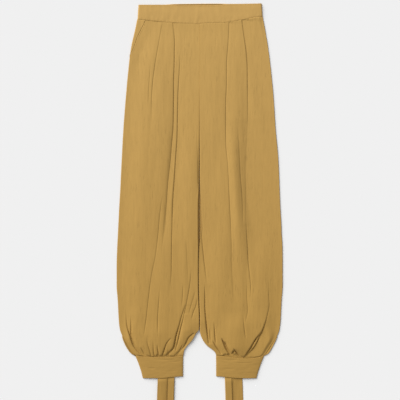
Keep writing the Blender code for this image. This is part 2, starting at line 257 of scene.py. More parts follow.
def build_crepe_group():
    """Crinkled cotton crepe: soft streaks along the grain, short crinkles whose grooves are darkened
    by painted shade, a fine weave, and painted light: a tone that deepens from the waist to the ankles."""
    group = bpy.data.node_groups.new("cotton_crepe", "ShaderNodeTree")
    for name, kind, direction in (
            ("Place", "Vector", "INPUT"),
            ("Crinkles per metre", "Vector", "INPUT"),
            ("Threads per metre", "Vector", "INPUT"),
            ("Crinkle depth and shade", "Float", "INPUT"),
            ("Waist tone", "Color", "INPUT"),
            ("Ankle tone", "Color", "INPUT"),
            ("Color", "Color", "OUTPUT"),
            ("Height", "Float", "OUTPUT")):
        group.interface.new_socket(name=name, in_out=direction, socket_type="NodeSocket" + kind)
    nodes, links = group.nodes, group.links
    given = nodes.new("NodeGroupInput")
    result = nodes.new("NodeGroupOutput")

    def stretched_noise(scale_socket, extra_scale, detail):
        spread = nodes.new("ShaderNodeVectorMath")
        spread.operation = "MULTIPLY"
        links.new(given.outputs["Place"], spread.inputs[0])
        links.new(given.outputs[scale_socket], spread.inputs[1])
        pattern = nodes.new("ShaderNodeTexNoise")
        pattern.inputs["Scale"].default_value = extra_scale
        pattern.inputs["Detail"].default_value = detail
        pattern.inputs["Roughness"].default_value = 0.55
        links.new(spread.outputs[0], pattern.inputs["Vector"])
        return pattern.outputs["Fac"]

    def ranged(value, low, high, to_low, to_high):
        span = nodes.new("ShaderNodeMapRange")
        for end, number in (("From Min", low), ("From Max", high), ("To Min", to_low), ("To Max", to_high)):
            span.inputs[end].default_value = number
        links.new(value, span.inputs["Value"])
        return span.outputs["Result"]

    def combined(operation, first, second):
        sum_node = nodes.new("ShaderNodeMath")
        sum_node.operation = operation
        links.new(first, sum_node.inputs[0])
        links.new(second, sum_node.inputs[1])
        return sum_node.outputs[0]

    streaks = stretched_noise("Crinkles per metre", 1.0, 3.0)
    crinkles = ranged(stretched_noise("Crinkles per metre", 1.6, 2.0), 0.30, 0.42, 1.0, 0.0)
    crinkles = combined("MULTIPLY", crinkles, given.outputs["Crinkle depth and shade"])
    patches = nodes.new("ShaderNodeTexNoise")
    patches.inputs["Scale"].default_value = 14.0
    links.new(given.outputs["Place"], patches.inputs["Vector"])
    crinkles = combined("MULTIPLY", crinkles, ranged(patches.outputs["Fac"], 0.4, 0.6, 0.25, 1.0))
    threads = stretched_noise("Threads per metre", 1.0, 1.0)

    # Painted light: the tone is mixed from the ankle tone to the waist tone by the place's y, darker towards
    # the ankles as if less lit there.
    parts = nodes.new("ShaderNodeSeparateXYZ")
    links.new(given.outputs["Place"], parts.inputs[0])
    along = ranged(parts.outputs["Y"], *LIGHT_FALLOFF_REACH, 0.0, 1.0)
    tone = nodes.new("ShaderNodeMix")
    tone.data_type = "RGBA"
    links.new(along, tone.inputs["Factor"])
    links.new(given.outputs["Ankle tone"], tone.inputs["A"])
    links.new(given.outputs["Waist tone"], tone.inputs["B"])

    streak_shade = ranged(streaks, 0.3, 0.7, 0.965, 1.035)
    thread_shade = ranged(threads, 0.3, 0.7, 0.98, 1.02)
    shade = combined("MULTIPLY", streak_shade, thread_shade)
    # Painted shade: the crinkles' grooves are darkened by up to a tenth in the colour, besides being sunk in
    # the relief below.
    shade = combined("MULTIPLY", shade, ranged(crinkles, 0.0, 1.0, 1.0, 0.90))
    tinted = nodes.new("ShaderNodeVectorMath")
    tinted.operation = "SCALE"
    links.new(tone.outputs["Result"], tinted.inputs[0])
    links.new(shade, tinted.inputs["Scale"])
    links.new(tinted.outputs[0], result.inputs["Color"])

    streak_relief = ranged(streaks, 0.3, 0.7, 0.0, 0.5)
    thread_relief = ranged(threads, 0.3, 0.7, 0.0, 0.25)
    relief = combined("ADD", streak_relief, thread_relief)
    relief = combined("SUBTRACT", relief, crinkles)
    links.new(relief, result.inputs["Height"])
    return group


crepe_group = build_crepe_group()


def crepe(name, crinkles, threads, crinkle_depth_and_shade, waist_tone, ankle_tone, bump):
    """Matte crinkled cotton, with the spacing of its crinkles and threads given per metre."""
    cloth = bpy.data.materials.new(name)
    cloth.use_nodes = True
    nodes, links = cloth.node_tree.nodes, cloth.node_tree.links
    shader = nodes["Principled BSDF"]
    shader.inputs["Roughness"].default_value = CREPE_ROUGHNESS
    shader.inputs["Specular IOR Level"].default_value = CREPE_GLOSS
    shader.inputs["Sheen Weight"].default_value = SHEEN
    shader.inputs["Sheen Roughness"].default_value = SHEEN_ROUGHNESS
    shader.inputs["Sheen Tint"].default_value = SHEEN_TINT
    place = nodes.new("ShaderNodeTexCoord")
    weave = nodes.new("ShaderNodeGroup")
    weave.node_tree = crepe_group
    weave.inputs["Crinkles per metre"].default_value = crinkles
    weave.inputs["Threads per metre"].default_value = threads
    weave.inputs["Crinkle depth and shade"].default_value = crinkle_depth_and_shade
    weave.inputs["Waist tone"].default_value = (*waist_tone, 1.0)
    weave.inputs["Ankle tone"].default_value = (*ankle_tone, 1.0)
    links.new(place.outputs["Object"], weave.inputs["Place"])
    links.new(weave.outputs["Color"], shader.inputs["Base Color"])
    raised = nodes.new("ShaderNodeBump")
    raised.inputs["Strength"].default_value = bump
    raised.inputs["Distance"].default_value = RELIEF_DEPTH * MM
    links.new(weave.outputs["Height"], raised.inputs["Height"])
    links.new(raised.outputs["Normal"], shader.inputs["Normal"])
    return cloth


panel_cloth = crepe("panel_crepe", (170, 24, 60), (900, 620, 900), 1.0, WAIST_TONE, ANKLE_TONE, 0.4)

BACK_ROWS = 150
BACK_COLUMN_STEP = 0.0175   # as a share of the panel's width
BACK_EDGE_STEPS = [0.953, 0.961, 0.968, 0.974, 0.98, 0.986, 0.991, 0.996, 1.0]
BACK_WAVE = 0.12            # the height of the panel's own soft waves
BACK_LIP = {RIGHT: 2.6, LEFT: 1.1}   # the edge stands up this far where it shows beside the front's
LIP_REACH = 2.2
LIP_SETBACK = 1.2           # from the panel's edge to the middle of that lip


def back_panel(name, side):
    """One back panel. Its lower end and outer edge follow the cuff's seam and the leg's outline."""
    shares = [BACK_COLUMN_STEP * k for k in range(55)] + BACK_EDGE_STEPS
    rows = []
    for r in range(BACK_ROWS + 1):
        down = r / BACK_ROWS
        row = []
        for share in shares:
            station = BACK_TOP + (CUFF_TOP - BACK_TOP) * down
            for _ in range(2):
                inner = SEAT_SEAM[side]
                if station > LEGS_PART:
                    inset = BACK_INSET * smooth_step((station - LEGS_PART) / 15.0)
                    inner = max(inner, inner_edge[side](station) + inset)
                shown = smooth_step(front_tuck(station) / 2.0)
                outer = outer_edge[side](station) - BACK_INSET * (1.0 - shown)
                across = inner + (outer - inner) * share
                station = BACK_TOP + (cuff_seam(side, across) - BACK_TOP) * down
            crease = noise.noise(Vector((across / 26.0, station / 140.0, 3.0 + side)))
            lip = BACK_LIP[side] * shown * math.exp(-((outer - across - LIP_SETBACK) / LIP_REACH) ** 2)
            row.append((side * across, station, 0.05 + BACK_WAVE * (1.0 + crease) + lip))
        rows.append(row)
    return cloth_sheet(name, rows, CLOTH, panel_cloth, up=False)


for name, side in (("back_right", RIGHT), ("back_left", LEFT)):
    back = back_panel("cloth_" + name, side)
    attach(back, "root")
    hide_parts(name)


# The front panels: the same crepe, let into the waistband in two soft pleats each and gathered
# into the cuff. Their edges are rounded over the backs, where the side seams are.
FRONT_TOP = 50.0
TUCK = 1.2                # the fronts run this far under the waistband and the cuffs
UNDER_BAND = 3.45         # height of the outer face where the waistband covers it
BAND_STEP = 0.6           # the face comes out from under the band by this much
BAND_RISE = 0.12          # and is held down near the band to this slope
UNDER_CUFF = 1.9          # height of the outer face where the cuff covers it
CUFF_FALL = 0.4           # the gathered cloth turns down by this share towards the cuff
CUFF_FALL_REACH = 12.0
TURN_REACH = 3.0          # the cloth turns under the cuff within this distance of it
TURN_SPAN = (0.35, 0.45)  # where the turn ends, and how long it is, as shares of its reach
FRONT_FLOOR = 1.7         # a front's outer face is hardly lower than this away from its edges
FLOOR_SOFTNESS = 0.5
RIM_FOOT = 0.8
RIM_REACH = 1.5
SHOULDERS = [
    # station, the width over which the cloth rises from the side seam
    (850, 70.0),
    (905, 42.0),
    (940, 18.0),
    (984, 12.0),
]
HIP_SHOULDER = 12.0       # the left side rises over this width at the hip
HIP_SPAN = (45.0, 140.0)  # stations between which that width gives way to the shoulders'
INSEAM_DROP = 0.5         # the balloon's lower inner side lies lower by this share
INSEAM_DROP_FROM = 885.0
INSEAM_DROP_WIDTH = 42.0
DROP_WIDTH = 1.1          # how fast the cloth turns down into a crease
DROP_SHARE = 0.62         # a plain crease only drops by this share of its depth
NIP_SHARE = 0.65          # and is nipped in by this share of it, along a narrow line
NIP_WIDTH = 0.8           # half the width of that line
PULL_REACH = 6.0          # the mesh is drawn together this far on either side of a crease
LEGS_OPEN = 480.0         # the legs' inner edges come free of each other from here
OPENING_START = 250.0     # the seam between the legs gets deeper from here to twice as far down
SEAM_DIP = {RIGHT: 3.2, LEFT: 0.7}   # depth of that seam where it is deepest
SEAM_REACH = 0.9
SEAM_LINE = 0.12          # depth of the seam at the waist
LEFT_ROLL = 3.2           # how broadly the wearer's left leg turns down into the gap of the legs
SIDE_CALM = 5.0           # the relief fades out over this distance from the side seam
INSEAM_CALM = 2.0         # and over this one from the open inseam

BAND_SEAM = [
    # x, station of the waistband's lower seam
    (-176, 43.2), (-140, 47.4), (-93, 52.0), (-60, 54.2), (-30, 55.6), (-8, 56.6), (14, 54.6),
    (45, 54.0), (64, 53.6), (84, 50.8), (104, 47.4), (126, 43.6), (150, 38.4), (178, 34.2),
]
POCKET_EDGE = [
    # station, across, of the slant pocket's opening
    (44, 152),
    (70, 164),
    (92, 175),
    (123, 186),
    (143, 196.2),
]
POCKET_LEVEL = 3.1        # outer face of the front along the pocket's opening
POCKET_HOLD = 60.0        # and the distance from there at which this level has faded out
POCKET_HOLD_END = 200.0   # and the station

# A crease is where the cloth, coming from the wearer's right, rolls down over far, drops, and
# rises again over spread. Each bracket's values are evenly spaced from the start to the end.
RIGHT_CREASES = [
    # name, start, end, across values, rolls, drops, far, spread
    ("outer pleat", 60, 340,
     (107, 117, 126.5, 133.3, 136.4, 136.4), (0.2, 0.2, 0.3, 0.2, 0), (0.5, 0.7, 0.9, 0.8, 0), 3, 14),
    ("outer pleat's fellow", 155, 300,
     (137.5, 141.4, 144.2, 145.3), (0, 0.2, 0.2, 0), (0, 0.6, 0.6, 0), 3, 10),
    ("inner pleat", 50, 672,
     (77.2, 71.7, 72.5, 74.2, 74.5, 75.3, 79.2, 84.0, 90.2, 94.1, 97.7, 103.9),
     (0.1, 0.2, 0.3, 0.5, 0.9, 1.5, 2.7, 3.1, 2.8, 2.4, 1.4, 0),
     (1.0, 1.5, 1.7, 1.8, 2.0, 1.8, 1.2, 1.0, 0.8, 0.8, 0.6, 0), 7, 26),
    ("inner pleat's fellow", 128, 806,
     (55.4, 58.5, 61.9, 63.3, 64.7, 68.9, 73.1, 77.0, 78.7, 80.1, 80.6, 84.8),
     (0, 0.2, 0.3, 0.4, 0.6, 0.7, 0.7, 0.6, 0.4, 0.3, 0.2, 0),
     (0, 1.0, 1.5, 1.8, 1.9, 2.0, 2.0, 1.8, 1.4, 1.5, 1.0, 0), 3, 22),
    ("fly crease", 345, 530, (10, 8, 6.5, 8), (0, 0.2, 0.4, 0.2), (0, 0.6, 1.0, 0.5), 3, 5),
    ("shin fold", 530, 935,
     (105, 112.6, 117.9, 124.9, 136.6, 144.2, 150.6, 158.2),
     (0, 0.4, 0.6, 0.4, 0.2, 0.2, 0.2, 0), (0, 0.8, 0.8, 0.7, 0.8, 1.0, 0.9, 0), 5, 12),
    ("shin fold's fellow", 560, 700, (96, 100, 104, 108), (0, 0.3, 0.3, 0), (0, 0.6, 0.5, 0), 4, 8),
    ("short shin fold", 790, 932, (112.8, 115.9, 119, 118.2), (0, 0.2, 0.2, 0), (0, 1.0, 1.0, 0), 3, 9),
    ("outer gather", 850, 984,
     (208, 207.6, 207, 206, 204, 200, 194.8, 190.6, 185.5, 174.8, 158),
     (0, 0, 0.1, 0.2, 0.3, 0.4, 1.0, 2.2, 3.0, 3.0, 2.2),
     (0, 0.4, 0.8, 1.2, 1.6, 2.4, 4.6, 5.6, 6.0, 5.8, 4.6), 11, 9),
    ("outer gather's fellow", 868, 936,
     (194, 193.5, 193.5, 193), (0, 0.2, 0.3, 0.2), (0, 1.0, 1.6, 0.8), 3, 6),
    ("first cuff gather", 926, 986,
     (147.6, 147.3, 142, 137), (0, 0.9, 1.5, 1.2), (0, 0.4, 0.8, 1.4), 8, 10),
    ("second cuff gather", 936, 986,
     (131.6, 130.8, 130.4, 128), (0, 0.5, 0.8, 0.8), (0, 0.5, 1.0, 1.6), 5, 8),
    ("third cuff gather", 952, 986, (120, 119, 117.5, 116), (0, 0.4, 0.6, 0.6), (0, 1.2, 1.7, 1.7), 3, 4),
    ("curved gather", 934, 988,
     (81.5, 92.7, 98.6, 103, 107.2), (0.1, 0.4, 0.6, 0.8, 0.8), (0.4, 1.2, 1.8, 2.4, 2.8), 4, 6),
    ("knee line", 738, 862, (24.6, 28.3, 35.3, 43.4), (0, 0.3, 0.3, 0.3), (0, 1.0, 1.2, 1.0), 4, 7),
    ("upper knee line", 780, 850, (48, 48.5, 50, 52), (0, 0.2, 0.2, 0), (0, 0.9, 0.9, 0), 3, 5),
    ("thigh line", 640, 790, (40, 38, 36, 35), (0, 0.2, 0.2, 0), (0, 0.5, 0.5, 0), 3, 6),
    ("inner gather", 843, 988,
     (41.7, 51.8, 59.6, 67.8, 74.2, 100.5),
     (0.1, 0.3, 0.4, 0.8, 1.2, 1.0), (0.8, 1.6, 1.8, 2.4, 3.4, 3.0), 4, 8),
    ("inner gather's fellow", 850, 965,
     (42.8, 47.3, 54.6, 60.8, 68), (0, 0.2, 0.3, 0.4, 0.2), (0, 1.0, 1.5, 1.6, 0.8), 4, 6),
    ("inseam line", 828, 882, (8.7, 13, 19.9, 24.6), (0.2, 0.2, 0.2, 0), (0.6, 1.1, 1.1, 0), 3, 5),
    ("lower inseam line", 800, 872, (12, 20, 27, 33), (0, 0.2, 0.2, 0), (0, 0.8, 0.8, 0), 3, 5),
    ("inseam gather", 922, 986,
     (19.9, 33.9, 39.5, 47, 60.2, 73.1),
     (0.4, 0.6, 0.8, 0.8, 0.8, 0.8), (1.2, 2.4, 2.5, 2.0, 1.4, 1.0), 4, 6),
    ("inseam cuff gather", 952, 986, (49, 54, 60, 66), (0, 0.3, 0.5, 0.6), (0, 1.4, 2.0, 2.0), 3, 4),
    ("small cuff gather", 966, 988, (90, 89, 88, 87), (0, 0.4, 0.6, 0.8), (0, 0.8, 1.6, 2.0), 3, 4),
    ("outer cuff gather", 960, 986, (166, 162, 157, 152), (0, 0.4, 0.6, 0.6), (0, 1.4, 2.0, 2.0), 3, 4),
]
LEFT_CREASES = [
    # name, start, end, across values, rolls, drops, far, spread
    ("inner pleat", 52, 846,
     (80.9, 78.1, 73.9, 73.6, 71.1, 70.8, 71.7, 76.7, 79.5, 82.3, 85.4, 87.4, 88.2, 91.3, 93.5),
     (0.2, 0.3, 0.4, 0.5, 0.6, 0.7, 0.7, 0.8, 1.1, 1.5, 1.9, 1.9, 1.5, 1.0, 0),
     (0.8, 0.9, 1.1, 1.1, 1.3, 1.3, 1.0, 0.8, 0.9, 1.0, 0.7, 0.5, 0.4, 0.3, 0), 7, 20),
    ("outer pleat", 44, 370,
     (116.5, 122.6, 129, 131.8, 132.2, 132.7, 133, 133),
     (0.3, 0.6, 1.0, 1.4, 1.6, 1.7, 1.5, 0.8), (2.0, 3.0, 3.0, 2.7, 2.1, 1.5, 0.8, 0), 13, 50),
    ("thigh crease", 328, 622,
     (101.9, 107, 109.6, 112, 115.9, 118.4, 118.7),
     (0.3, 1.3, 2.1, 2.4, 2.3, 1.6, 0.4), (0, 0.4, 0.7, 0.9, 0.9, 0.7, 0), 11, 110),
    ("thigh crease's fellow", 330, 640,
     (131.5, 129, 128, 128, 129), (0, 0.4, 0.5, 0.4, 0), (0, 0.6, 0.6, 0.5, 0), 5, 14),
    ("shin fold", 616, 824,
     (128.5, 130.2, 132.4, 134.1, 137.8, 140.8, 141.7),
     (0.3, 0.9, 1.1, 0.9, 0.6, 0.5, 0), (0.2, 1.3, 1.6, 1.3, 1.2, 1.1, 0), 9, 14),
    ("shin crease", 776, 894, (129.9, 130.2, 132.4, 125.2), (0, 0.7, 0.7, 0), (0, 0.8, 0.9, 0), 8, 8),
    ("side line", 410, 645, (173.5, 176, 175.3, 174), (0, 0.2, 0.2, 0), (0, 0.3, 0.3, 0), 5, 12),
    ("outer gather", 780, 990,
     (190.5, 191, 193, 187.5, 179, 165.8, 150.5, 122),
     (0, 0.1, 0.2, 0.3, 0.4, 0.4, 0.4, 0.4), (0, 0.9, 1.0, 1.2, 2.4, 3.8, 4.0, 3.4), 3, 45),
    ("outer gather's fellow", 917, 987,
     (171.5, 153.2, 139.7, 123.5), (0.1, 0.3, 0.4, 0.4), (0.2, 4.2, 4.6, 3.6), 2, 4),
    ("deep gather", 936, 988, (60.5, 67.5, 76, 90), (0.2, 1.0, 1.6, 1.6), (0.6, 7.0, 10.0, 9.0), 3, 4),
    ("deep gather's fellow", 944, 988,
     (68.5, 72.5, 80, 92), (0, 0.2, 0.3, 0.3), (0.6, 6.0, 8.0, 6.0), 2, 3.5),
    ("ankle gather", 964, 990, (94, 99, 106, 113), (0, 0.4, 0.6, 0.6), (0, 5.0, 7.0, 6.0), 4, 5),
    ("ankle gather's fellow", 968, 988, (95, 91, 88, 86), (0, 0.3, 0.4, 0.4), (0, 5.0, 6.0, 5.0), 3, 5),
    ("middle line", 865, 938, (119, 121, 124, 128), (0, 0.2, 0.2, 0), (0, 0.7, 0.8, 0), 4, 7),
    ("inseam roll, upper", 606, 786,
     (-1, 2.5, 6.5, 10, 14.5, 18), (0, 0.3, 0.5, 0.5, 0.3, 0), (0, 1.6, 1.8, 1.5, 1.0, 0), 3, 14),
    ("inseam roll, lower", 780, 945,
     (13, 12.8, 12.6, 14.8, 18.5, 23), (0, 0.5, 0.6, 0.7, 0.6, 0.3), (0, 2.0, 3.0, 3.4, 2.6, 1.0), 4, 12),
    ("inseam line", 888, 955, (38.5, 40, 41.5, 44), (0, 0.3, 0.4, 0), (0, 1.2, 1.4, 0), 3, 6),
    ("short inseam line", 905, 948, (27, 27.5, 28, 29), (0, 0.2, 0.2, 0), (0, 0.9, 0.9, 0), 3, 5),
    ("inseam gather", 942, 976, (35, 41, 48, 57), (0, 0.4, 0.4, 0.4), (0.2, 1.8, 2.2, 1.0), 3, 4),
    ("rim gather", 938, 986, (215, 210, 196, 178), (0, 0.2, 0.2, 0.2), (0, 0.8, 1.3, 1.4), 2, 4),
]

# Broad soft forms: hollows have a negative height.
RIGHT_SWELLS = [
    # name, start, end, across values, width, height
    ("hip swell", 80, 480, (108, 112, 118, 122), 22, 0.9),
    ("lap swell", 330, 740, (30, 30, 30, 30), 22, 1.6),
    ("front roll", 250, 700, (62, 66, 80, 92), 5, 0.5),
    ("shin swell", 620, 960, (95, 100, 105, 110), 30, 1.4),
    ("knee swell", 640, 900, (45, 42, 42, 45), 18, 0.8),
    ("ankle swell", 880, 1010, (118, 120, 120, 120), 32, 1.8),
]
LEFT_SWELLS = [
    # name, start, end, across values, width, height
    ("front roll", 290, 760, (85, 92, 100, 106, 110), 14, 2.0),
    ("thigh ridge", 230, 800, (96, 98, 102, 106, 106), 32, 1.8),
    ("thigh hollow", 220, 800, (134, 142, 150, 152, 152, 152), 28, -4.2),
    ("pleat hollow", 90, 420, (118, 122, 128, 134), 18, -1.2),
    ("side hollow", 300, 800, (166, 174, 178, 178), 36, -2.2),
    ("inseam strip", 320, 900, (2, 2, 3, 5, 8), 45, -2.8),
    ("shin hollow", 690, 890, (127, 129, 131, 131), 10, -1.0),
    ("lap swell", 120, 480, (32, 32, 34, 36), 26, 0.7),
    ("knee swell", 600, 930, (50, 50, 52, 55), 24, 1.2),
    ("ankle swell", 860, 1010, (96, 98, 98, 98), 32, 3.2),
]
CUFF_HOLLOWS = {
    # across, width, how far from the cuff's seam the cloth starts to turn under
    RIGHT: [(104, 30, 8.0), (118, 5, 13.0), (62, 14, 5.0), (148, 14, 6.0)],
    LEFT: [(98, 12, 17.0), (84, 12, 15.0), (72, 8, 11.0), (114, 10, 9.0), (140, 16, 5.0)],
}


def fold_path(start, end, values):
    """A traced line through values that are evenly spaced from start to end."""
    step = (end - start) / (len(values) - 1)
    return traced([(start + step * k, value) for k, value in enumerate(values)])


creases = {RIGHT: [], LEFT: []}
for side, table in ((RIGHT, RIGHT_CREASES), (LEFT, LEFT_CREASES)):
    for name, start, end, places, rolls, drops, far, spread in table:
        lines = [fold_path(start, end, values) for values in (places, rolls, drops)]
        creases[side].append((start, end, *lines, far, spread))
swells = {RIGHT: [], LEFT: []}
for side, table in ((RIGHT, RIGHT_SWELLS), (LEFT, LEFT_SWELLS)):
    for name, start, end, places, width, height in table:
        swells[side].append((start, end, fold_path(start, end, places), width, height))

band_seam = traced(BAND_SEAM)
pocket_edge = traced(POCKET_EDGE)
shoulders = traced(SHOULDERS)


def crease_height(crease, side, across, station):
    """How far a crease lowers the cloth at one point."""
    start, end, place, rolls, drops, far, spread = crease
    if station < start or station > end + 4.0:
        return 0.0
    away = side * (across - place(station))
    if away < -4.0 * far or away > 8.0 * spread:
        return 0.0
    gathered = smooth_step((station - 860.0) / 70.0)
    roll, depth = rolls(station), drops(station)
    drop = depth * (DROP_SHARE + (1.0 - DROP_SHARE) * gathered)
    nip = depth * (NIP_SHARE + 0.75 * gathered)
    nip_width = NIP_WIDTH + 0.5 * gathered if away < 0.3 else 1.7 * NIP_WIDTH
    nip *= math.exp(-((away - 0.3) / nip_width) ** 2)
    if away < 0.0:
        return -roll * math.exp(away / far) - nip
    spread *= 2.0 - gathered
    return -(roll + drop * smooth_step(away / DROP_WIDTH)) * math.exp(-away / spread) - nip


def drawn_to_creases(side, across, station):
    """Moves a column of the mesh towards the creases near it, so that they come out crisp."""
    for start, end, place, rolls, drops, far, spread in creases[side]:
        if start <= station <= end + 4.0:
            middle = place(station) + side * 0.4
            away = across - middle
            if abs(away) < PULL_REACH:
                pull = 0.6 * smooth_step(drops(station) / 1.2)
                across = middle + math.copysign(PULL_REACH * (abs(away) / PULL_REACH) ** (1.0 + pull), away)
    return across


def swell_height(swell, across, station):
    """How far a swell raises the cloth at one point. It fades out towards both of its ends."""
    start, end, place, width, height = swell
    if station <= start or station >= end:
        return 0.0
    away = (across - place(station)) / width
    if abs(away) > 3.0:
        return 0.0
    fade = 0.35 * (end - start)
    strength = smooth_step((station - start) / fade) * smooth_step((end - station) / fade)
    return strength * height * math.exp(-away * away)


def crinkle(side, across, station):
    """The crepe's own uneven ribs along the grain, and the cloth's broad unevenness."""
    seed = 11.0 * side
    fine = noise.noise(Vector((across / 4.6, station / 52.0, seed)))
    wide = noise.noise(Vector((across / 13.0, station / 90.0, seed + 5.0)))
    broad = noise.noise(Vector((across / 55.0, station / 150.0, seed + 9.0)))
    return 0.07 * fine + 0.20 * wide + 0.60 * broad


def front_rim(side, station):
    """Lowest height of the front's side edge: on the pocket's facing, or on the back."""
    if side == LEFT:
        return RIM_FOOT
    on_pocket = smooth_step((150.0 - station) / 10.0)
    return RIM_FOOT + (POCKET_LEVEL - 0.3 - RIM_FOOT) * on_pocket


def front_height(side, across, station, outer, inner):
    """Height of a front panel's outer face."""
    out, inn = outer - across, across - inner
    parted = smooth_step((station - LEGS_OPEN) / 50.0)
    shoulder = smooth_step(out / shoulders(station))
    if side == LEFT:
        at_hip = smooth_step((HIP_SPAN[1] - station) / (HIP_SPAN[1] - HIP_SPAN[0]))
        shoulder += (smooth_step(out / HIP_SHOULDER) - shoulder) * at_hip
    low_down = smooth_step((station - INSEAM_DROP_FROM) / 40.0)
    shoulder *= 1.0 - INSEAM_DROP * low_down * (1.0 - smooth_step(inn / INSEAM_DROP_WIDTH))
    relief = crinkle(side, across, station)
    for swell in swells[side]:
        relief += swell_height(swell, across, station)
    for crease in creases[side]:
        relief += crease_height(crease, side, across, station)
    relief *= smooth_step(out / SIDE_CALM) * (1.0 - parted * (1.0 - smooth_step(inn / INSEAM_CALM)))
    lifted = loft(station) * shoulder + relief
    height = FRONT_FLOOR + 0.5 * (lifted + math.sqrt(lifted * lifted + FLOOR_SOFTNESS))
    if side == RIGHT:
        over_pocket = smooth_step((across - pocket_edge(station) + POCKET_HOLD) / 50.0)
        over_pocket *= smooth_step((POCKET_HOLD_END - station) / 50.0)
        height += max(0.0, POCKET_LEVEL - height) * over_pocket
    rim = front_rim(side, station)
    height = rim + (height - rim) * rounded(out, RIM_REACH)
    opening = smooth_step((station - OPENING_START) / OPENING_START)
    dip = SEAM_LINE + SEAM_DIP[side] * opening
    sewn = height - dip * math.exp(-max(0.0, inn) / (SEAM_REACH + SEAM_REACH * opening))
    roll = RIM_REACH if side == RIGHT else LEFT_ROLL
    open_edge = RIM_FOOT + (height - RIM_FOOT) * rounded(inn, roll)
    return sewn + (open_edge - sewn) * parted


def under_cuff(side, across, height, from_cuff):
    """Turns a front's lower end down under the cuff's edge, from further away in a hollow."""
    reach = TURN_REACH
    height -= CUFF_FALL * (height - FRONT_FLOOR) * math.exp(-from_cuff / CUFF_FALL_REACH)
    for place, width, far in CUFF_HOLLOWS[side]:
        reach = max(reach, far * math.exp(-((across - place) / width) ** 2))
    part = smooth_step((from_cuff - TURN_SPAN[0] * reach) / (TURN_SPAN[1] * reach))
    return min(height, UNDER_CUFF + max(0.0, height - UNDER_CUFF) * part)


FRONT_COLUMNS = 187       # between its close columns along the edges
COLUMN_STEP = 1.15
EDGE_WIDTH = 3.5
ROW_STEP = 5.0
GATHER_ROW_STEP = 2.2     # rows lie closer where the cloth is gathered
GATHER_ROWS_FROM = 780.0


def front_panel(name, side):
    """One front panel. Its columns run from the inseam outwards, its rows down from the band."""
    edge_steps = [0.0, 0.25, 0.7, 1.4, 2.4]
    across_steps = edge_steps + [EDGE_WIDTH + COLUMN_STEP * k for k in range(FRONT_COLUMNS)]
    width = across_steps[-1] + EDGE_WIDTH
    across_steps += [width - step for step in reversed(edge_steps)]
    down_steps = [0.0, 0.6, 1.2, 2.4, 4.0]
    station = 8.0
    length = CUFF_TOP - FRONT_TOP
    while station < length - 7.0:
        down_steps.append(station)
        station += ROW_STEP if station < GATHER_ROWS_FROM else GATHER_ROW_STEP
    down_steps += [length - 5.2, length - 4.0, length - 3.0, length - 2.1, length - 1.2, length]

    rows = []
    for step in down_steps:
        down = step / length
        row = []
        for across_step in across_steps:
            share = across_step / width
            station = FRONT_TOP + step
            for _ in range(2):
                inner = inner_edge[side](station)
                outer = outer_edge[side](station) - front_tuck(station)
                if side == RIGHT and station < POCKET_EDGE[-1][0]:
                    outer = min(outer, pocket_edge(station))
                across = inner + (outer - inner) * share
                top = band_seam(side * across) - TUCK
                station = top + (cuff_seam(side, across) + TUCK - top) * down
            if PULL_REACH < across - inner and PULL_REACH < outer - across:
                drawn = drawn_to_creases(side, across, station)
                from_edge = min(across - inner, outer - across)
                across += (drawn - across) * smooth_step((from_edge - PULL_REACH) / 3.0)
            height = front_height(side, across, station, outer, inner)
            from_band = max(0.0, step - TUCK)
            held = UNDER_BAND + BAND_STEP * min(from_band, 1.0) + BAND_RISE * from_band
            height = min(height, held)
            height = under_cuff(side, across, height, length - step - TUCK)
            row.append((side * across, station, height))
        rows.append(row)
    return cloth_sheet(name, rows, CLOTH, panel_cloth)


for name, side in (("front_right", RIGHT), ("front_left", LEFT)):
    front = front_panel("cloth_" + name, side)
    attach(front, "root")
    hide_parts(name)


# The sewing: rows of small straight stitches in thread of the cloth's tone, with its painted light
# falloff, half sunk into the outer faces. The first row holds the turned edge of the slant pocket's opening.
THREAD = 0.25             # half the thickness of the sewing thread
THREAD_RAISED = 0.3       # its middle lies this share of that above the cloth
STITCH = 1.2              # half the length of a stitch
STITCH_STEP = 3.3
POCKET_ROW = (60.0, 138.0)   # stations between which the pocket's row runs
POCKET_ROW_INSET = 4.0
# The thread takes the cloth's painted light falloff and a trace of its painted crinkle shade.
thread_cloth = crepe("sewing_thread", (400, 400, 400), (2400, 2400, 2400), 0.1, WAIST_TONE, ANKLE_TONE, 0.2)


def stitches(name, piece, lines):
    """Rows of small stitches on a piece's outer face, along lines of (x, station) points."""
    corners = [corner.co for corner in piece.data.vertices]
    skin = BVHTree.FromPolygons(corners, [face.vertices for face in piece.data.polygons])
    thread = bmesh.new()
    for line in lines:
        spots = [Vector((x * MM, (WAIST_LINE - station) * MM, 0.0)) for x, station in line]
        carried = 0.0
        for start, end in zip(spots, spots[1:]):
            stretch = (end - start).length / MM
            while carried < stretch:
                spot = start.lerp(end, carried / stretch)
                over = spot + Vector((0.0, 0.0, 0.05))
                hit = skin.ray_cast(over, Vector((0.0, 0.0, -1.0)))[0]
                if hit is not None:
                    spot.z = hit.z + THREAD_RAISED * THREAD * MM
                    turn = Matrix.Rotation(math.atan2(end.y - start.y, end.x - start.x), 4, "Z")
                    size = Matrix.Diagonal((STITCH * MM, THREAD * MM, THREAD * MM, 1.0))
                    bmesh.ops.create_icosphere(
                        thread, subdivisions=1, radius=1.0, matrix=Matrix.Translation(spot) @ turn @ size)
                carried += STITCH_STEP
            carried -= stretch
    row = placed_piece(name, thread, thread_cloth)
    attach(row, "root")


def line_along(start, end, steps, place):
    """Points (x, station) of a line, read from place at even steps from start to end."""
    return [place(start + (end - start) * k / steps) for k in range(steps + 1)]


opening_line = line_along(*POCKET_ROW, 20, lambda at: (-(pocket_edge(at) - POCKET_ROW_INSET), at))
stitches("pocket_stitches", bpy.data.objects["cloth_front_right"], [opening_line])


